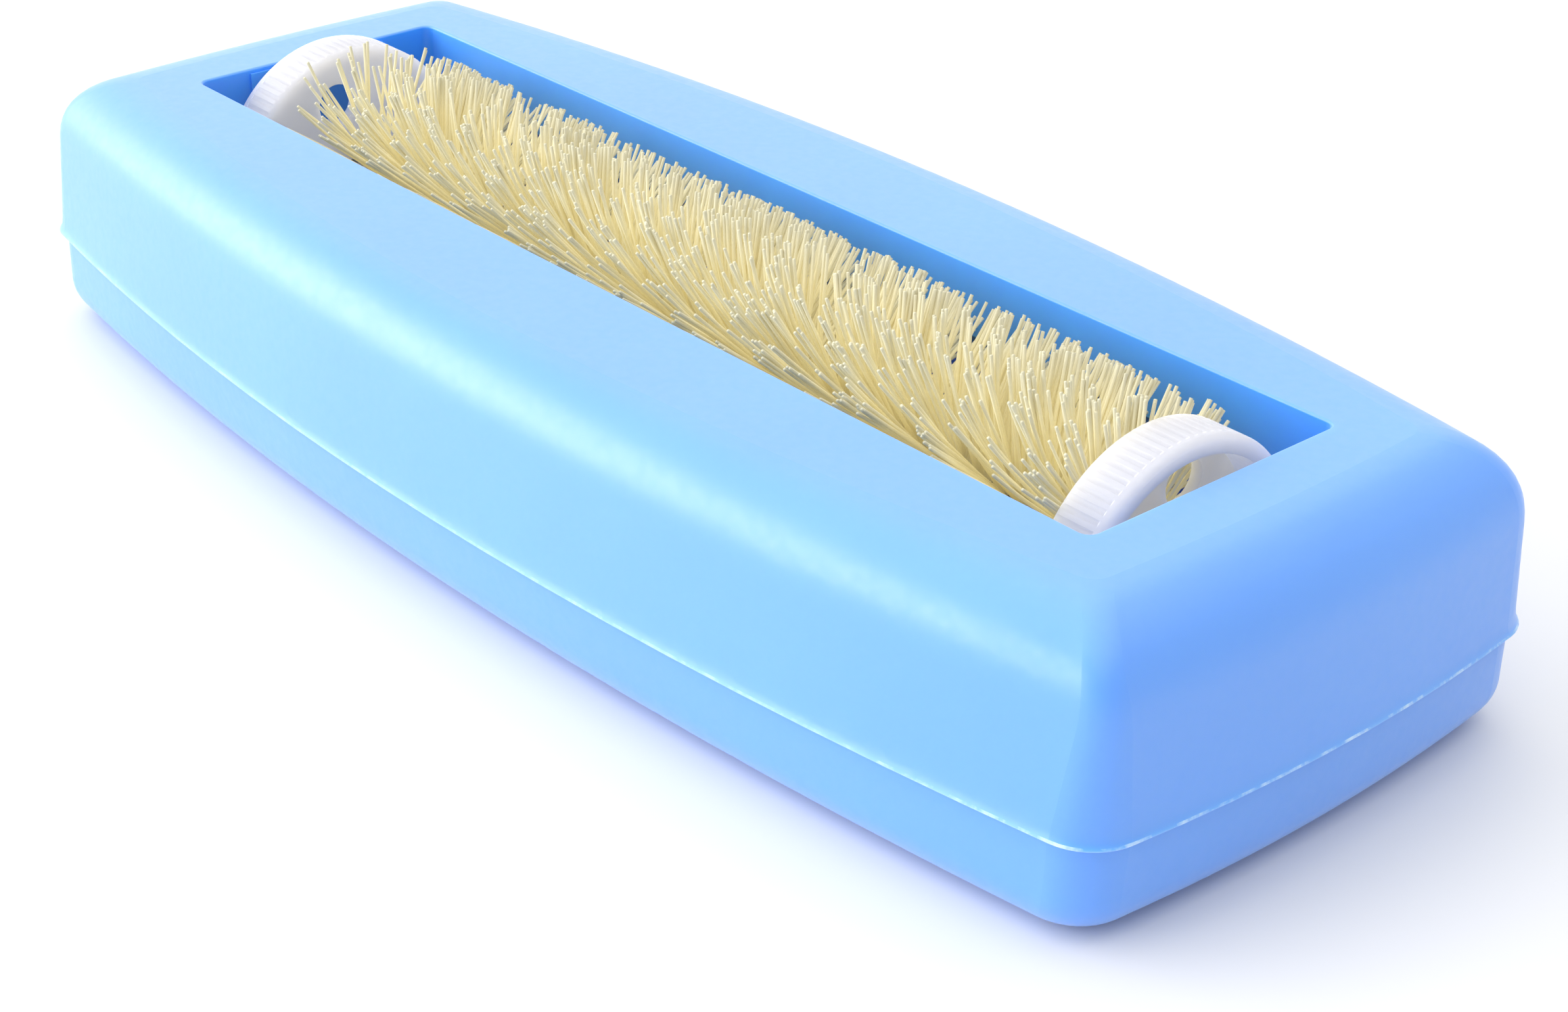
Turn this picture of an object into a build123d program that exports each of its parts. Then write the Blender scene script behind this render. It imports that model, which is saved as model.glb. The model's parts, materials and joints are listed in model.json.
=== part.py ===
from build123d import *

import os
from math import pi, sin, sqrt

# Hand-held roller-brush sweeper, lying on its back. Millimetres.
# The origin is under the middle of the flat back, +X runs along the roller
# and +Z points out of the back, towards the open side that shows the brush.

# Heights above the flat back
rim_height = 11.5
body_height = 31.4

# Plan outline of the body where the two shells meet
rim_half_length = 92.4
rim_half_width = 39.0
rim_side_bow = 8.0
rim_end_bow = 2.2
rim_corner = 6.0

# Plan outline of the brush housing at its face, as if its edges were sharp
face_half_length = 90.3
face_half_width = 36.6
face_side_bow = 7.7
face_end_bow = 0.7
face_corner = 2.2
face_side_round = 6.4
face_end_round = 8.6

# Plan outline of the back cover at the flat back, as if its edges were sharp
back_half_length = 91.3
back_half_width = 37.4
back_side_bow = 6.4
back_end_bow = 1.9
back_corner = 5.5
back_round = 5.0

# Shell walls, and the joint where the housing's tongue drops into the cover
shell_wall = 1.8
cover_step = 0.45
rim_flare = 0.3
rim_flare_height = 1.6
rim_band_height = 2.4
tongue_depth = 3.0
tongue_wall = 1.2
tongue_gap = 0.2

# Brush slot, the low dams along its sides, and the deeper walls across its ends with
# a shallow pad on each
slot_length = 150.0
slot_width = 34.0
slot_corner = 1.2
slot_edge_round = 0.3
chute_wall = 1.8
dam_bottom = 23.2
end_wall_bottom = 9.5
end_pad_depth = 0.3
end_pad_half_width = 9.8
end_pad_top = 30.8

# Roller wheels, and how far along its axle the roller rests from the middle of its slot
roller_shift = -0.5
axle_height = 18.4
wheel_radius = 15.6
wheel_inner_face = 66.6
wheel_outer_face = 72.7
wheel_rim_wall = 1.9
wheel_web = 1.4
wheel_edge_round = 0.7
hub_radius = 4.2
hub_end = 73.8
window_radius = 2.6
window_circle = 9.2
window_count = 4
left_window_angle = 15
right_window_angle = 61
groove_count = 84
groove_radius = 0.5
groove_depth = 0.13
groove_length = 5.0

# Journals, the bearings that they snap into, and the posts that keep them there
journal_radius = 2.5
journal_end = 80.8
bearing_clearance = 0.05
bearing_mouth = 4.3
bearing_boss_radius = 5.5
bearing_boss_depth = 1.7
keeper_gap = 0.4
keeper_half_width = 4.0
keeper_wall = 1.8

# Twisted wire core and the bristles that it grips
wire_diameter = 1.4
wire_gap = 0.04
twist_pitch = 9.0
wire_half_length = 70.1
socket_depth = 4.0
core_clearance = 0.03
bristle_radius = 17.0
bristle_end_gap = 0.3
trough_gap = 0.6

# Steps between the outlines that shape each shell's wall and its rounded edge,
# and the least that an outline's corners are rounded inside a wall
wall_steps = 7
round_steps = 6
least_corner = 1.0

core_radius = wire_diameter + wire_gap / 2
roller_plane = Plane((0, 0, axle_height), x_dir=(1, 0, 0), z_dir=(0, -1, 0))
axle = Axis((0, 0, axle_height), (1, 0, 0))


def blend(start, end, share):
    """The value this share of the way from start to end."""
    return start + (end - start) * share


def rounding(radius, depth):
    """How far a rounded edge stands in from its wall, this deep below its face."""
    rise = max(radius - depth, 0)
    return radius - sqrt(radius**2 - rise**2)


def shell_heights(rim, face, radius):
    """Heights of the outlines that shape a shell, from its rim up or down to its face."""
    direction = 1 if face > rim else -1
    wall_end = face - direction * radius
    wall = [blend(rim, wall_end, step / wall_steps) for step in range(wall_steps)]
    angles = [pi / 2 * step / round_steps for step in range(round_steps + 1)]
    return wall + [wall_end + direction * radius * sin(angle) for angle in angles]


def plan_outline(height, half_length, half_width, side_bow, end_bow, corner):
    """A level outline of four bowed edges with rounded corners."""
    corner_x = half_length - end_bow
    corner_y = half_width - side_bow
    with BuildSketch(Plane.XY.offset(height)) as outline:
        with BuildLine():
            ThreePointArc((-corner_x, -corner_y), (0, -half_width), (corner_x, -corner_y))
            ThreePointArc((corner_x, -corner_y), (half_length, 0), (corner_x, corner_y))
            ThreePointArc((corner_x, corner_y), (0, half_width), (-corner_x, corner_y))
            ThreePointArc((-corner_x, corner_y), (-half_length, 0), (-corner_x, -corner_y))
        make_face()
        fillet(outline.vertices(), corner)
    return outline.sketch


def housing_outline(height, inset=0.0, roof=0.0):
    """The housing's outline, this far inside its surface and below this thick a roof."""
    share = (height - rim_height) / (body_height - rim_height)
    depth = body_height - roof - height
    flare = rim_flare * max(1 - (height - rim_height) / rim_flare_height, 0)
    side_inset = inset - flare + rounding(face_side_round - roof, depth)
    end_inset = inset - flare + rounding(face_end_round - roof, depth)
    return plan_outline(
        height,
        blend(rim_half_length, face_half_length, share) - end_inset,
        blend(rim_half_width, face_half_width, share) - side_inset,
        blend(rim_side_bow, face_side_bow, share),
        blend(rim_end_bow, face_end_bow, share),
        max(blend(rim_corner, face_corner, share) - inset, least_corner),
    )


def cover_outline(height, inset=0.0, floor=0.0):
    """The cover's outline, this far inside its surface and above this thick a floor."""
    share = (rim_height - height) / rim_height
    wall_inset = inset + rounding(back_round - floor, height - floor)
    return plan_outline(
        height,
        blend(rim_half_length - cover_step, back_half_length, share) - wall_inset,
        blend(rim_half_width - cover_step, back_half_width, share) - wall_inset,
        blend(rim_side_bow, back_side_bow, share),
        blend(rim_end_bow, back_end_bow, share),
        max(blend(rim_corner, back_corner, share) - inset, least_corner),
    )


# The back cover: a shallow tray that is also the palm side and holds the crumbs
tray_floor = shell_wall
cover_heights = shell_heights(rim_height, 0, back_round)
tray_heights = shell_heights(rim_height, tray_floor, back_round - tray_floor)
keeper_x = slot_length / 2 + chute_wall + bearing_boss_depth + keeper_gap
keeper_top = axle_height - journal_radius / 2

with BuildPart() as back_cover:
    loft(sections=[cover_outline(height) for height in cover_heights])
    loft(
        sections=[cover_outline(height, shell_wall, tray_floor) for height in tray_heights],
        mode=Mode.SUBTRACT,
    )
    # A post under each journal, with a saddle that keeps it from dropping out of its bearing
    for side in (-1, 1):
        keeper_plane = Plane((side * keeper_x, 0, 0), x_dir=(0, 1, 0), z_dir=(1, 0, 0))
        with BuildSketch(keeper_plane):
            with Locations((0, (tray_floor / 2 + keeper_top) / 2)):
                Rectangle(2 * keeper_half_width, keeper_top - tray_floor / 2)
            with Locations((0, axle_height)):
                Circle(journal_radius + keeper_gap, mode=Mode.SUBTRACT)
        extrude(amount=side * keeper_wall)
    # A shallow trough in the floor, where the bristles pass closest to it
    with BuildSketch(Plane.YZ):
        with Locations((0, axle_height)):
            Circle(bristle_radius + trough_gap)
    trough_half_length = wheel_inner_face + abs(roller_shift)
    extrude(amount=trough_half_length, both=True, mode=Mode.SUBTRACT)

# The brush housing: the slotted shell, the walls of its slot and the roller's bearings
tongue_inset = shell_wall + tongue_gap
opening_inset = tongue_inset + tongue_wall
tongue_top = rim_height + rim_band_height / 2
roof_height = body_height - shell_wall
band_top = rim_height + rim_band_height
housing_heights = shell_heights(rim_height, body_height, face_end_round)
cavity_heights = shell_heights(band_top, roof_height, face_end_round - shell_wall)
chute_top = body_height - shell_wall / 2
bearing_radius = journal_radius + bearing_clearance

with BuildPart() as brush_housing:
    loft(sections=[housing_outline(height) for height in housing_heights])
    # The tongue that plugs into the cover
    tongue_bottom = rim_height - tongue_depth
    loft(sections=[cover_outline(height, tongue_inset) for height in (tongue_bottom, tongue_top)])
    loft(
        sections=[cover_outline(height, opening_inset) for height in (tongue_bottom, band_top)],
        mode=Mode.SUBTRACT,
    )
    loft(
        sections=[housing_outline(height, shell_wall, shell_wall) for height in cavity_heights],
        mode=Mode.SUBTRACT,
    )
    # Dams along the slot's sides, deeper walls across its ends, and a boss around each bearing
    with BuildSketch(Plane.XY.offset(dam_bottom)):
        Rectangle(slot_length + 2 * chute_wall, slot_width + 2 * chute_wall)
    extrude(amount=chute_top - dam_bottom)
    with BuildSketch(Plane.XY.offset(end_wall_bottom)):
        with GridLocations(slot_length + chute_wall, 0, 2, 1):
            Rectangle(chute_wall, slot_width + 2 * chute_wall)
    extrude(amount=chute_top - end_wall_bottom)
    for side in (-1, 1):
        boss_x = side * (slot_length / 2 + chute_wall / 2)
        boss_plane = Plane((boss_x, 0, 0), x_dir=(0, 1, 0), z_dir=(1, 0, 0))
        with BuildSketch(boss_plane):
            with Locations((0, axle_height)):
                Circle(bearing_boss_radius)
            with Locations((0, (end_wall_bottom + axle_height) / 2)):
                Rectangle(2 * bearing_boss_radius, axle_height - end_wall_bottom)
        extrude(amount=side * (chute_wall / 2 + bearing_boss_depth))
    with BuildSketch(Plane.XY):
        RectangleRounded(slot_length, slot_width, slot_corner)
    extrude(amount=body_height, mode=Mode.SUBTRACT)
    for side in (-1, 1):
        pad_plane = Plane((side * slot_length / 2, 0, 0), x_dir=(0, 1, 0), z_dir=(1, 0, 0))
        with BuildSketch(pad_plane):
            with Locations((0, (end_wall_bottom + end_pad_top) / 2)):
                Rectangle(2 * end_pad_half_width, end_pad_top - end_wall_bottom)
        extrude(amount=-side * end_pad_depth)
    # The bearings are open on the cover's side, through a mouth that the journals snap past
    with BuildSketch(Plane.YZ):
        with Locations((0, axle_height)):
            Circle(bearing_radius)
        with Locations((0, axle_height / 2)):
            Rectangle(bearing_mouth, axle_height)
    extrude(amount=journal_end, both=True, mode=Mode.SUBTRACT)
    slot_edges = brush_housing.faces().sort_by(Axis.Z)[-1].inner_wires()[0].edges()
    fillet(slot_edges, slot_edge_round)

# The wheels: a grooved rim, a web with windows, and a hub that ends in a journal
wheels = {}
for name, side, window_angle in (
    ("wheel_left", -1, left_window_angle),
    ("wheel_right", 1, right_window_angle),
):
    rim_inside = wheel_radius - wheel_rim_wall
    web_back = wheel_inner_face + wheel_web
    socket_end = wheel_inner_face + socket_depth
    wheel_profile = [
        (wheel_inner_face, core_radius + core_clearance),
        (wheel_inner_face, wheel_radius),
        (wheel_outer_face, wheel_radius),
        (wheel_outer_face, rim_inside),
        (web_back, rim_inside),
        (web_back, hub_radius),
        (hub_end, hub_radius),
        (hub_end, journal_radius),
        (journal_end, journal_radius),
        (journal_end, 0),
        (socket_end, 0),
        (socket_end, core_radius + core_clearance),
    ]
    with BuildPart() as wheel:
        with BuildSketch(roller_plane) as section:
            with BuildLine():
                outline = [(side * x + roller_shift, radius) for x, radius in wheel_profile]
                Polyline(outline, close=True)
            make_face()
            fillet(section.vertices().group_by(Axis.Y)[-1], wheel_edge_round)
        revolve(axis=axle)
        face_x = side * wheel_inner_face + roller_shift
        face_plane = Plane((face_x, 0, axle_height), x_dir=(0, 1, 0), z_dir=(1, 0, 0))
        with BuildSketch(face_plane):
            with PolarLocations(window_circle, window_count, start_angle=window_angle):
                Circle(window_radius)
        extrude(amount=side * wheel_web, mode=Mode.SUBTRACT)
        with BuildSketch(face_plane):
            with PolarLocations(wheel_radius + groove_radius - groove_depth, groove_count):
                Circle(groove_radius)
        extrude(amount=side * groove_length, mode=Mode.SUBTRACT)
    wheels[name] = wheel

# The core: two wires twisted together, pressed into the wheels' hubs
core_start = (roller_shift - wire_half_length, 0, axle_height)
with BuildPart() as core_wire_a:
    with BuildLine() as strand:
        strand_circle = (wire_diameter + wire_gap) / 2
        Helix(twist_pitch, 2 * wire_half_length, strand_circle, core_start, (1, 0, 0))
    with BuildSketch(Plane(strand.line @ 0, z_dir=strand.line % 0)):
        Circle(wire_diameter / 2)
    sweep(path=strand.line, is_frenet=True)

with BuildPart() as core_wire_b:
    add(core_wire_a.part.rotate(axle, 180))

# The bristles as one plain sleeve around the core, between the wheels
with BuildPart() as bristle_pack:
    with BuildSketch(Plane.YZ.offset(roller_shift)):
        with Locations((0, axle_height)):
            Circle(bristle_radius)
            Circle(core_radius + core_clearance, mode=Mode.SUBTRACT)
    extrude(amount=wheel_inner_face - bristle_end_gap, both=True)

pieces = {
    "back_cover": back_cover,
    "brush_housing": brush_housing,
    **wheels,
    "core_wire_a": core_wire_a,
    "core_wire_b": core_wire_b,
    "bristle_pack": bristle_pack,
}
os.makedirs("parts", exist_ok=True)
for name, piece in pieces.items():
    piece.part.label = name
    export_step(piece.part, f"parts/{name}.step")
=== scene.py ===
import json
import math
import random

import bpy
from mathutils import Matrix, Vector, noise as space_noise


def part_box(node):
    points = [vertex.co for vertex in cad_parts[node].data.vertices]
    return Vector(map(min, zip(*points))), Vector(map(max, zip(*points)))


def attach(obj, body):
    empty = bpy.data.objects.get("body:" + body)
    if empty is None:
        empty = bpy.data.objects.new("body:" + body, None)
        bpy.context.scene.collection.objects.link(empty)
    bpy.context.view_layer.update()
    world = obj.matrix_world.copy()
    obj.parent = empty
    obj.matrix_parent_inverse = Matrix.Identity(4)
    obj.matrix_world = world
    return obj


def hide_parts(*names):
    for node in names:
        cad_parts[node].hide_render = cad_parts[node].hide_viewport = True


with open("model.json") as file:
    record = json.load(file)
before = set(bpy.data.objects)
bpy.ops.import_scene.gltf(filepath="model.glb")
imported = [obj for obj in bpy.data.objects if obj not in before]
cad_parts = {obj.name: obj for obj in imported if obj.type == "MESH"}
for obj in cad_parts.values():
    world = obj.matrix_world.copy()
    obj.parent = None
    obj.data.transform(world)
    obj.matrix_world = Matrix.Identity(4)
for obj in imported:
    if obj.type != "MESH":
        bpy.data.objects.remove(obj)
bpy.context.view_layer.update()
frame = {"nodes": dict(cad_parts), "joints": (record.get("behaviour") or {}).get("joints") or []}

MM = 0.001

# The roller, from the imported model: its axle, and the sleeve that the bristles fill
ROLLER = next(joint for joint in frame["joints"] if joint["name"] == "roller_spin")
AXLE_HEIGHT = ROLLER["pos_m"][2]
BRISTLE_LOW, BRISTLE_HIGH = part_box("bristle_pack")
TIP_RADIUS = BRISTLE_HIGH.y
BRUSH_MIDDLE = (BRISTLE_LOW.x + BRISTLE_HIGH.x) / 2
END_GAP = 0.3 * MM
BRUSH_HALF = (BRISTLE_HIGH.x - BRISTLE_LOW.x) / 2 - END_GAP

# The housing's lower lip, how far above and below it the plastic is whitened, and how
# strongly along the sides and at the +X end
LIP_HEIGHT = 11.6 * MM
LIP_WEAR_REACH = 0.16 * MM
SIDE_WEAR = 0.25
END_WEAR = 0.8
WEAR_GROWS_FROM = 60 * MM
WEAR_GROWS_TO = 90 * MM

# The block of space whose sides are the walls of the brush slot, which get painted shade: its
# centre and half its size
SLOT_CENTRE = (0, 0, 21.6 * MM)
SLOT_HALF = (75.5 * MM, 17.2 * MM, 9.6 * MM)

PLASTIC_IOR = 1.49

# One filament
FILAMENT_RADIUS = 0.2 * MM
FILAMENT_SIDES = 6
FILAMENT_SEGMENTS = 3
TIP_TAPER = 0.93
ROOT_RADIUS = 1.1 * MM
TIP_LIMIT = TIP_RADIUS + 0.45 * MM

# The brush: tufts of a few filaments along the core's double twist
BRUSH_SEED = 7
BRUSH_PIECES = 8
TUFT_COUNT = 3200
TUFT_SIZES = (1, 3)
FILAMENT_SPACING = 0.4 * MM
TWIST_PITCH = 5.5 * MM
FIRST_TUFT = 0.5 * MM

# Neighbouring tufts lean alike: by how much, and over what length and turn that changes
DRIFT = 0.025
DRIFT_LENGTH = 4 * MM
DRIFT_TURN = 1.6
LEAN_CHANNEL = 0
SWING_CHANNEL = 5

# How much tufts vary: their turn round the core, their lean along and round it, their reach;
# a name ending in MM is in millimetres
TURN_SPREAD = 1.2
LEAN_SPREAD = 0.013
SWING_SPREAD = 0.016
REACH_SPREAD_MM = 0.2

# How much the filaments in a tuft vary
ROOT_SPREAD_MM = 0.05
ANGLE_SPREAD = 0.02
OWN_LEAN_SPREAD = 0.009
LENGTH_SPREAD_MM = 0.14
BOW_SPREAD_MM = 0.1

# The ends of the brush splay outwards, and the -X end is thin
END_REACH = 7 * MM
END_SPLAY = math.radians(3)
LEFT_THINNING = 0.97
LEFT_THINNING_POWER = 0.3


def node_tree(name):
    """A new material, its nodes, its links and its Principled shader."""
    material = bpy.data.materials.new(name)
    material.use_nodes = True
    tree = material.node_tree
    return material, tree.nodes, tree.links, tree.nodes["Principled BSDF"]


def set_sockets(shader, values):
    """Sets the shader's own sockets, from a table of socket names."""
    for name, value in values.items():
        shader.inputs[name].default_value = value


def noise(nodes, links, coordinate, scale, detail=2.0, roughness=0.5):
    """A noise texture on this coordinate; returns its value socket."""
    texture = nodes.new("ShaderNodeTexNoise")
    texture.inputs["Scale"].default_value = scale
    texture.inputs["Detail"].default_value = detail
    texture.inputs["Roughness"].default_value = roughness
    links.new(coordinate, texture.inputs["Vector"])
    return texture.outputs["Fac"]


def remap(nodes, links, value, low, high, to_low, to_high):
    """Value, mapped from one range to another and held at its ends."""
    ranger = nodes.new("ShaderNodeMapRange")
    for socket, number in (
        ("From Min", low), ("From Max", high), ("To Min", to_low), ("To Max", to_high),
    ):
        ranger.inputs[socket].default_value = number
    links.new(value, ranger.inputs["Value"])
    return ranger.outputs["Result"]


def ramp(nodes, links, value, stops):
    """A colour ramp over value, with (position, colour) stops."""
    colours = nodes.new("ShaderNodeValToRGB")
    elements = colours.color_ramp.elements
    for element, (position, colour) in zip(elements, stops):
        element.position = position
        element.color = (*colour, 1)
    for position, colour in stops[2:]:
        elements.new(position).color = (*colour, 1)
    links.new(value, colours.inputs["Fac"])
    return colours.outputs["Color"]


def bump(nodes, links, height, distance, strength=1.0, under=None):
    """A bump over height, on top of another bump if one is given."""
    node = nodes.new("ShaderNodeBump")
    node.inputs["Strength"].default_value = strength
    node.inputs["Distance"].default_value = distance
    links.new(height, node.inputs["Height"])
    if under:
        links.new(under, node.inputs["Normal"])
    return node.outputs["Normal"]


def lip_wear(nodes, links, where):
    """How whitened the plastic is: a broken line along the housing's lower lip, most at +X."""
    axes = nodes.new("ShaderNodeSeparateXYZ")
    links.new(where, axes.inputs["Vector"])
    height = nodes.new("ShaderNodeMath")
    height.operation = "COMPARE"
    height.inputs[1].default_value = LIP_HEIGHT
    height.inputs[2].default_value = LIP_WEAR_REACH
    links.new(axes.outputs["Z"], height.inputs[0])
    share = remap(nodes, links, noise(nodes, links, where, 260, 4, 0.7), 0.46, 0.66, 0, 1)
    side = remap(
        nodes, links, axes.outputs["X"], WEAR_GROWS_FROM, WEAR_GROWS_TO, SIDE_WEAR, END_WEAR
    )
    for part in (height.outputs["Value"], side):
        product = nodes.new("ShaderNodeMath")
        product.operation = "MULTIPLY"
        links.new(share, product.inputs[0])
        links.new(part, product.inputs[1])
        share = product.outputs["Value"]
    return share


def inside(nodes, links, where, centre, half):
    """1 inside the block of this centre and half size, and 0 outside it."""
    place = where
    for operation, operand in (("SUBTRACT", centre), ("ABSOLUTE", None), ("SUBTRACT", half)):
        step = nodes.new("ShaderNodeVectorMath")
        step.operation = operation
        if operand:
            step.inputs[1].default_value = operand
        links.new(place, step.inputs[0])
        place = step.outputs["Vector"]
    axes = nodes.new("ShaderNodeSeparateXYZ")
    links.new(place, axes.inputs["Vector"])
    furthest = axes.outputs["X"]
    for axis in ("Y", "Z"):
        larger = nodes.new("ShaderNodeMath")
        larger.operation = "MAXIMUM"
        links.new(furthest, larger.inputs[0])
        links.new(axes.outputs[axis], larger.inputs[1])
        furthest = larger.outputs["Value"]
    under = nodes.new("ShaderNodeMath")
    under.operation = "LESS_THAN"
    under.inputs[1].default_value = 0
    links.new(furthest, under.inputs[0])
    return under.outputs["Value"]


def body_plastic():
    """Light blue polypropylene: satin, a little cloudy, with flow marks and a worn lip.

    The slot's walls are painted a deeper, darker blue: painted shade for the shade inside the
    slot.
    """
    material, nodes, links, shader = node_tree("body_plastic")
    where = nodes.new("ShaderNodeTexCoord").outputs["Object"]
    flow = noise(nodes, links, where, 26, 3)
    worn = nodes.new("ShaderNodeMixRGB")
    worn.inputs["Color2"].default_value = (0.62, 0.84, 1.0, 1)
    links.new(lip_wear(nodes, links, where), worn.inputs["Fac"])
    links.new(
        ramp(nodes, links, flow, [(0.3, (0.078, 0.31, 0.94)), (0.7, (0.087, 0.33, 0.97))]),
        worn.inputs["Color1"],
    )
    # Painted shade: inside the slot the base colour turns a deeper, darker blue
    slot_shade = nodes.new("ShaderNodeMixRGB")
    slot_shade.inputs["Color2"].default_value = (0.008, 0.3, 1.0, 1)
    links.new(worn.outputs["Color"], slot_shade.inputs["Color1"])
    links.new(inside(nodes, links, where, SLOT_CENTRE, SLOT_HALF), slot_shade.inputs["Fac"])
    links.new(slot_shade.outputs["Color"], shader.inputs["Base Color"])
    grain = noise(nodes, links, where, 900, 2)
    links.new(remap(nodes, links, grain, 0.3, 0.7, 0.36, 0.46), shader.inputs["Roughness"])
    waves = bump(nodes, links, noise(nodes, links, where, 45, 2), 0.12 * MM, 0.5)
    skin = bump(nodes, links, grain, 0.01 * MM, 0.5, waves)
    links.new(skin, shader.inputs["Normal"])
    set_sockets(shader, {
        "IOR": PLASTIC_IOR,
        "Specular IOR Level": 1.0,
        "Sheen Weight": 0.28,
        "Sheen Roughness": 0.6,
        "Subsurface Weight": 0.4,
        "Subsurface Radius": (0.3, 0.6, 1.0),
        "Subsurface Scale": 4 * MM,
    })
    return material


def wheel_plastic():
    """Milky polypropylene, with a painted glow that stands in for the light its walls let through.
    """
    material, nodes, links, shader = node_tree("wheel_plastic")
    where = nodes.new("ShaderNodeTexCoord").outputs["Object"]
    cloud = noise(nodes, links, where, 120, 3)
    links.new(
        ramp(nodes, links, cloud, [(0.3, (0.44, 0.43, 0.455)), (0.7, (0.48, 0.47, 0.485))]),
        shader.inputs["Base Color"],
    )
    grain = noise(nodes, links, where, 1400, 2)
    links.new(remap(nodes, links, grain, 0.3, 0.7, 0.42, 0.55), shader.inputs["Roughness"])
    links.new(bump(nodes, links, grain, 0.02 * MM, 0.4), shader.inputs["Normal"])
    set_sockets(shader, {
        "IOR": PLASTIC_IOR,
        "Subsurface Weight": 1.0,
        "Subsurface Radius": (1.0, 1.0, 1.0),
        "Subsurface Scale": 12 * MM,
        # Painted glow: emission stands in for the light let through the milky walls
        "Emission Color": (0.93, 0.95, 1.0, 1),
        "Emission Strength": 0.14,
    })
    return material


def core_wire():
    """Drawn galvanised wire, dull and streaked."""
    material, nodes, links, shader = node_tree("core_wire")
    where = nodes.new("ShaderNodeTexCoord").outputs["Object"]
    streaks = noise(nodes, links, where, 2200, 3)
    links.new(
        ramp(nodes, links, streaks, [(0.3, (0.36, 0.36, 0.37)), (0.7, (0.55, 0.55, 0.56))]),
        shader.inputs["Base Color"],
    )
    links.new(remap(nodes, links, streaks, 0.3, 0.7, 0.28, 0.5), shader.inputs["Roughness"])
    set_sockets(shader, {"Metallic": 1.0})
    return material


def bristle_nylon():
    """Straw-coloured nylon, with painted light: its colour is lightest at the roots, painted
    there to lift the shade deep in the brush, and a painted glow stands in for the light
    that the filaments carry down from their tips.
    """
    material, nodes, links, shader = node_tree("bristle_nylon")
    where = nodes.new("ShaderNodeTexCoord").outputs["Object"]
    offset = nodes.new("ShaderNodeVectorMath")
    offset.operation = "SUBTRACT"
    offset.inputs[1].default_value = (0, 0, AXLE_HEIGHT)
    links.new(where, offset.inputs[0])
    across = nodes.new("ShaderNodeVectorMath")
    across.operation = "MULTIPLY"
    across.inputs[1].default_value = (0, 1, 1)
    links.new(offset.outputs["Vector"], across.inputs[0])
    radius = nodes.new("ShaderNodeVectorMath")
    radius.operation = "LENGTH"
    links.new(across.outputs["Vector"], radius.inputs[0])
    reach = remap(nodes, links, radius.outputs["Value"], 0.3 * TIP_RADIUS, 1.01 * TIP_RADIUS, 0, 1)
    # Painted light: the colour is lightest at the roots, to lift the shade deep in the brush
    along = ramp(
        nodes,
        links,
        reach,
        [
            (0.0, (0.92, 0.87, 0.62)),
            (0.6, (0.83, 0.775, 0.535)),
            (0.88, (0.62, 0.58, 0.40)),
            (1.0, (0.54, 0.52, 0.385)),
        ],
    )
    geometry = nodes.new("ShaderNodeNewGeometry")
    tint = nodes.new("ShaderNodeHueSaturation")
    strand = geometry.outputs["Random Per Island"]
    links.new(remap(nodes, links, strand, 0, 1, 0.93, 1.07), tint.inputs["Value"])
    links.new(along, tint.inputs["Color"])
    links.new(tint.outputs["Color"], shader.inputs["Base Color"])
    links.new(remap(nodes, links, strand, 0, 1, 0.45, 0.6), shader.inputs["Roughness"])
    set_sockets(shader, {
        "Specular IOR Level": 0.15,
        # Painted glow: a little emission stands in for light carried along the filaments
        "Emission Color": (1.0, 0.85, 0.48, 1),
        "Emission Strength": 0.1,
    })
    return material


def floor_paint():
    """Matt white, with the faintest mottling."""
    material, nodes, links, shader = node_tree("floor_paint")
    where = nodes.new("ShaderNodeTexCoord").outputs["Object"]
    mottle = noise(nodes, links, where, 8, 2)
    links.new(
        ramp(nodes, links, mottle, [(0.3, (0.76, 0.76, 0.76)), (0.7, (0.78, 0.78, 0.78))]),
        shader.inputs["Base Color"],
    )
    set_sockets(shader, {"Roughness": 0.6})
    return material


def ring(centre, direction, radius, sides, phase):
    """Points around centre, in the plane across direction."""
    side = direction.cross(Vector((1, 0, 0)))
    if side.length < 0.1:
        side = direction.cross(Vector((0, 1, 0)))
    side.normalize()
    other = direction.cross(side).normalized()
    angles = [phase + math.tau * step / sides for step in range(sides)]
    return [centre + radius * (math.cos(a) * side + math.sin(a) * other) for a in angles]


def add_filament(vertices, faces, root, tip, bow, phase):
    """A closed strand from root to tip that bows sideways in the middle."""
    first = len(vertices)
    direction = (tip - root).normalized()
    for step in range(FILAMENT_SEGMENTS + 1):
        share = step / FILAMENT_SEGMENTS
        centre = root.lerp(tip, share) + 4 * share * (1 - share) * bow
        radius = FILAMENT_RADIUS * (TIP_TAPER if step == FILAMENT_SEGMENTS else 1)
        vertices += ring(centre, direction, radius, FILAMENT_SIDES, phase)
    for step in range(FILAMENT_SEGMENTS):
        low = first + step * FILAMENT_SIDES
        high = low + FILAMENT_SIDES
        for side in range(FILAMENT_SIDES):
            after = (side + 1) % FILAMENT_SIDES
            faces.append((low + side, low + after, high + after, high + side))
    last = first + FILAMENT_SEGMENTS * FILAMENT_SIDES
    faces.append(tuple(range(last, last + FILAMENT_SIDES)))
    faces.append(tuple(reversed(range(first, first + FILAMENT_SIDES))))


def outward(angle):
    """The direction away from the axle at this angle round it."""
    return Vector((0, math.cos(angle), math.sin(angle)))


def drift(x, angle, channel):
    """The lean that the strands in this part of the brush share."""
    place = Vector((x / DRIFT_LENGTH, 0, channel)) + DRIFT_TURN * outward(angle)
    return DRIFT * space_noise.noise(place)


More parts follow.
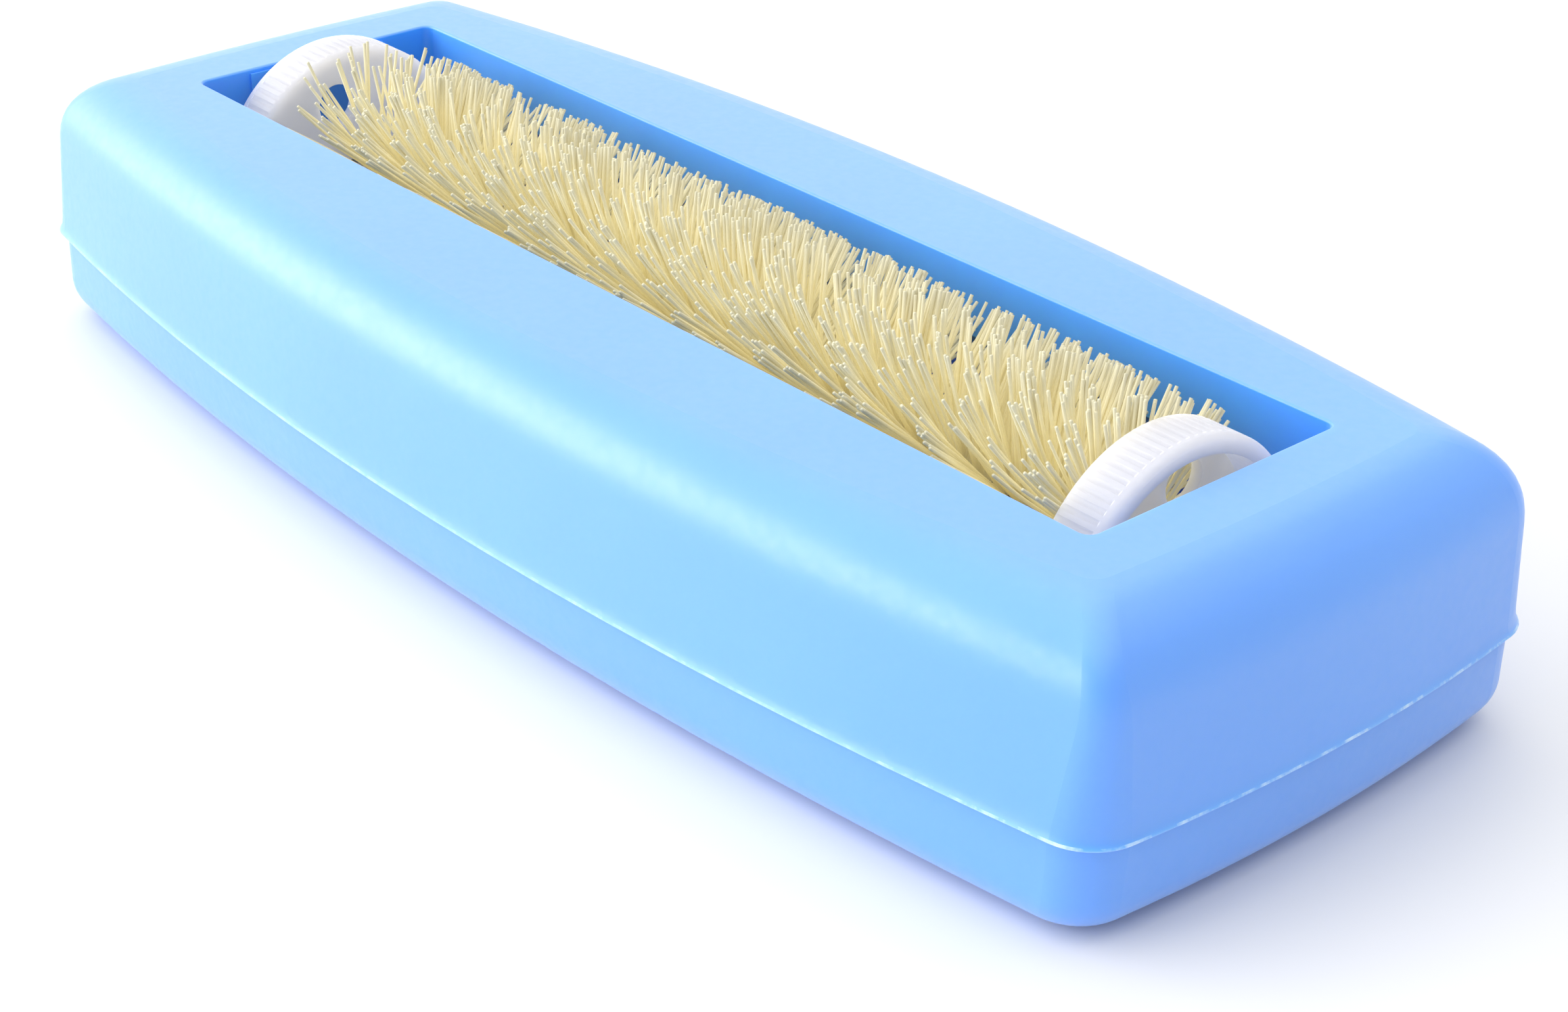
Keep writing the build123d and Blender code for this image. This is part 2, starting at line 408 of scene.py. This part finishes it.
def add_tuft(vertices, faces, x, draw):
    """A few filaments side by side, gripped by the core where its wires point at them."""
    end_share = max(0, 1 - (BRUSH_HALF - abs(x)) / END_REACH)
    turn = math.tau * x / TWIST_PITCH + draw.choice((0, math.pi)) + draw.gauss(0, TURN_SPREAD)
    lean = drift(x, turn, LEAN_CHANNEL) + draw.gauss(0, LEAN_SPREAD)
    lean += math.copysign(END_SPLAY, x) * end_share
    swing = drift(x, turn, SWING_CHANNEL) + draw.gauss(0, SWING_SPREAD)
    reach = TIP_RADIUS + draw.gauss(0, REACH_SPREAD_MM) * MM
    for place in range(draw.randint(*TUFT_SIZES)):
        if x < 0 and draw.random() < LEFT_THINNING * end_share**LEFT_THINNING_POWER:
            continue
        root_x = x + place * FILAMENT_SPACING + draw.gauss(0, ROOT_SPREAD_MM) * MM
        angle = turn + draw.gauss(0, ANGLE_SPREAD)
        own_lean = lean + draw.gauss(0, OWN_LEAN_SPREAD)
        length = min(reach + draw.gauss(0, LENGTH_SPREAD_MM) * MM, TIP_LIMIT)
        tip_x = max(-BRUSH_HALF, min(BRUSH_HALF, root_x + length * math.tan(own_lean)))
        root = Vector((BRUSH_MIDDLE + root_x, 0, AXLE_HEIGHT)) + ROOT_RADIUS * outward(angle)
        tip = Vector((BRUSH_MIDDLE + tip_x, 0, AXLE_HEIGHT)) + length * outward(angle + swing)
        along = Vector((draw.gauss(0, BOW_SPREAD_MM), 0, 0))
        around = outward(angle + math.pi / 2) * draw.gauss(0, BOW_SPREAD_MM)
        bow = (along + around) * MM
        add_filament(vertices, faces, root, tip, bow, draw.uniform(0, math.tau))


def bristles(material):
    """The brush, as one piece of mesh for each stretch of the core."""
    draw = random.Random(BRUSH_SEED)
    low = FIRST_TUFT - BRUSH_HALF
    stretch = -2 * low / BRUSH_PIECES
    for piece in range(BRUSH_PIECES):
        vertices, faces = [], []
        for _ in range(TUFT_COUNT // BRUSH_PIECES):
            add_tuft(vertices, faces, low + (piece + draw.random()) * stretch, draw)
        mesh = bpy.data.meshes.new(f"bristles_{piece + 1}")
        mesh.from_pydata(vertices, [], faces)
        mesh.materials.append(material)
        mesh.shade_smooth()
        brush = bpy.data.objects.new(mesh.name, mesh)
        bpy.context.scene.collection.objects.link(brush)
        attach(brush, "roller")
        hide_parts("bristle_pack")


def paint(node, material):
    """Gives a CAD node a material in place of its plain one."""
    shown = frame["nodes"][node]
    shown.data.materials.clear()
    shown.data.materials.append(material)


def stage_floor(material):
    """A wide pale floor under the object."""
    size = 3.0
    mesh = bpy.data.meshes.new("floor")
    corners = [(-size, -size, 0), (size, -size, 0), (size, size, 0), (-size, size, 0)]
    mesh.from_pydata(corners, [], [(0, 1, 2, 3)])
    mesh.materials.append(material)
    floor = bpy.data.objects.new("floor", mesh)
    bpy.context.scene.collection.objects.link(floor)


# The lights: a white tent, brightest towards -X, and two soft boxes that face the object
LIGHT_TARGET = (0, 0, 0.02)
TENT_BRIGHT_SIDE = (-1, 0, 0)
TENT_BRIGHT_FROM = 0.7
TENT_DIM = 0.74
TENT_BRIGHT = 1.34
SOFTBOXES = (
    # name, place, size, power
    ("key", (-0.95, -1.1, 0.44), (1.9, 1.05), 27),
    ("overhead", (0, 0, 1.0), (1.5, 1.5), 7),
)


def softbox(name, place, size, power):
    """A rectangular light at place that faces the object."""
    light = bpy.data.lights.new(name, "AREA")
    light.shape = "RECTANGLE"
    light.size, light.size_y = size
    light.energy = power
    lamp = bpy.data.objects.new(name, light)
    lamp.location = place
    aim = Vector(LIGHT_TARGET) - Vector(place)
    lamp.rotation_euler = aim.to_track_quat("-Z", "Y").to_euler()
    bpy.context.scene.collection.objects.link(lamp)


def lights():
    """A white tent that glows on the left, a key from the left front, and a soft overhead."""
    world = bpy.data.worlds.new("tent")
    world.use_nodes = True
    nodes, links = world.node_tree.nodes, world.node_tree.links
    background = nodes["Background"]
    background.inputs["Color"].default_value = (1.0, 1.0, 1.0, 1)
    facing = nodes.new("ShaderNodeVectorMath")
    facing.operation = "DOT_PRODUCT"
    facing.inputs[1].default_value = TENT_BRIGHT_SIDE
    links.new(nodes.new("ShaderNodeTexCoord").outputs["Generated"], facing.inputs[0])
    towards = facing.outputs["Value"]
    glow = remap(nodes, links, towards, 0, TENT_BRIGHT_FROM, TENT_DIM, TENT_BRIGHT)
    links.new(glow, background.inputs["Strength"])
    bpy.context.scene.world = world
    for name, place, size, power in SOFTBOXES:
        softbox(name, place, size, power)


# The camera: where it stands, the way its picture's right and up edges point, and its lens
CAMERA_PLACE = (0.21883, -0.18006, 0.15085)
CAMERA_RIGHT = (0.65786, 0.75305, 0.01170)
CAMERA_UP = (-0.36539, 0.30554, 0.87928)
CAMERA_LENS = 64.5
SENSOR_WIDTH = 36.0


def camera():
    """The camera, turned so that the body runs across the picture to the lower right."""
    lens = bpy.data.cameras.new("camera")
    lens.lens = CAMERA_LENS
    lens.sensor_width = SENSOR_WIDTH
    lens.clip_start = 0.01
    eye = bpy.data.objects.new("camera", lens)
    right = Vector(CAMERA_RIGHT).normalized()
    up = Vector(CAMERA_UP)
    up = (up - up.dot(right) * right).normalized()
    turn = Matrix((right, up, right.cross(up))).transposed()
    eye.matrix_world = Matrix.Translation(CAMERA_PLACE) @ turn.to_4x4()
    bpy.context.scene.collection.objects.link(eye)
    bpy.context.scene.camera = eye


blue = body_plastic()
milky = wheel_plastic()
wire = core_wire()
for name in ("brush_housing", "back_cover"):
    paint(name, blue)
for name in ("wheel_left", "wheel_right"):
    paint(name, milky)
for name in ("core_wire_a", "core_wire_b"):
    paint(name, wire)
bristles(bristle_nylon())
stage_floor(floor_paint())
lights()
camera()
bpy.context.scene.view_settings.view_transform = "Standard"
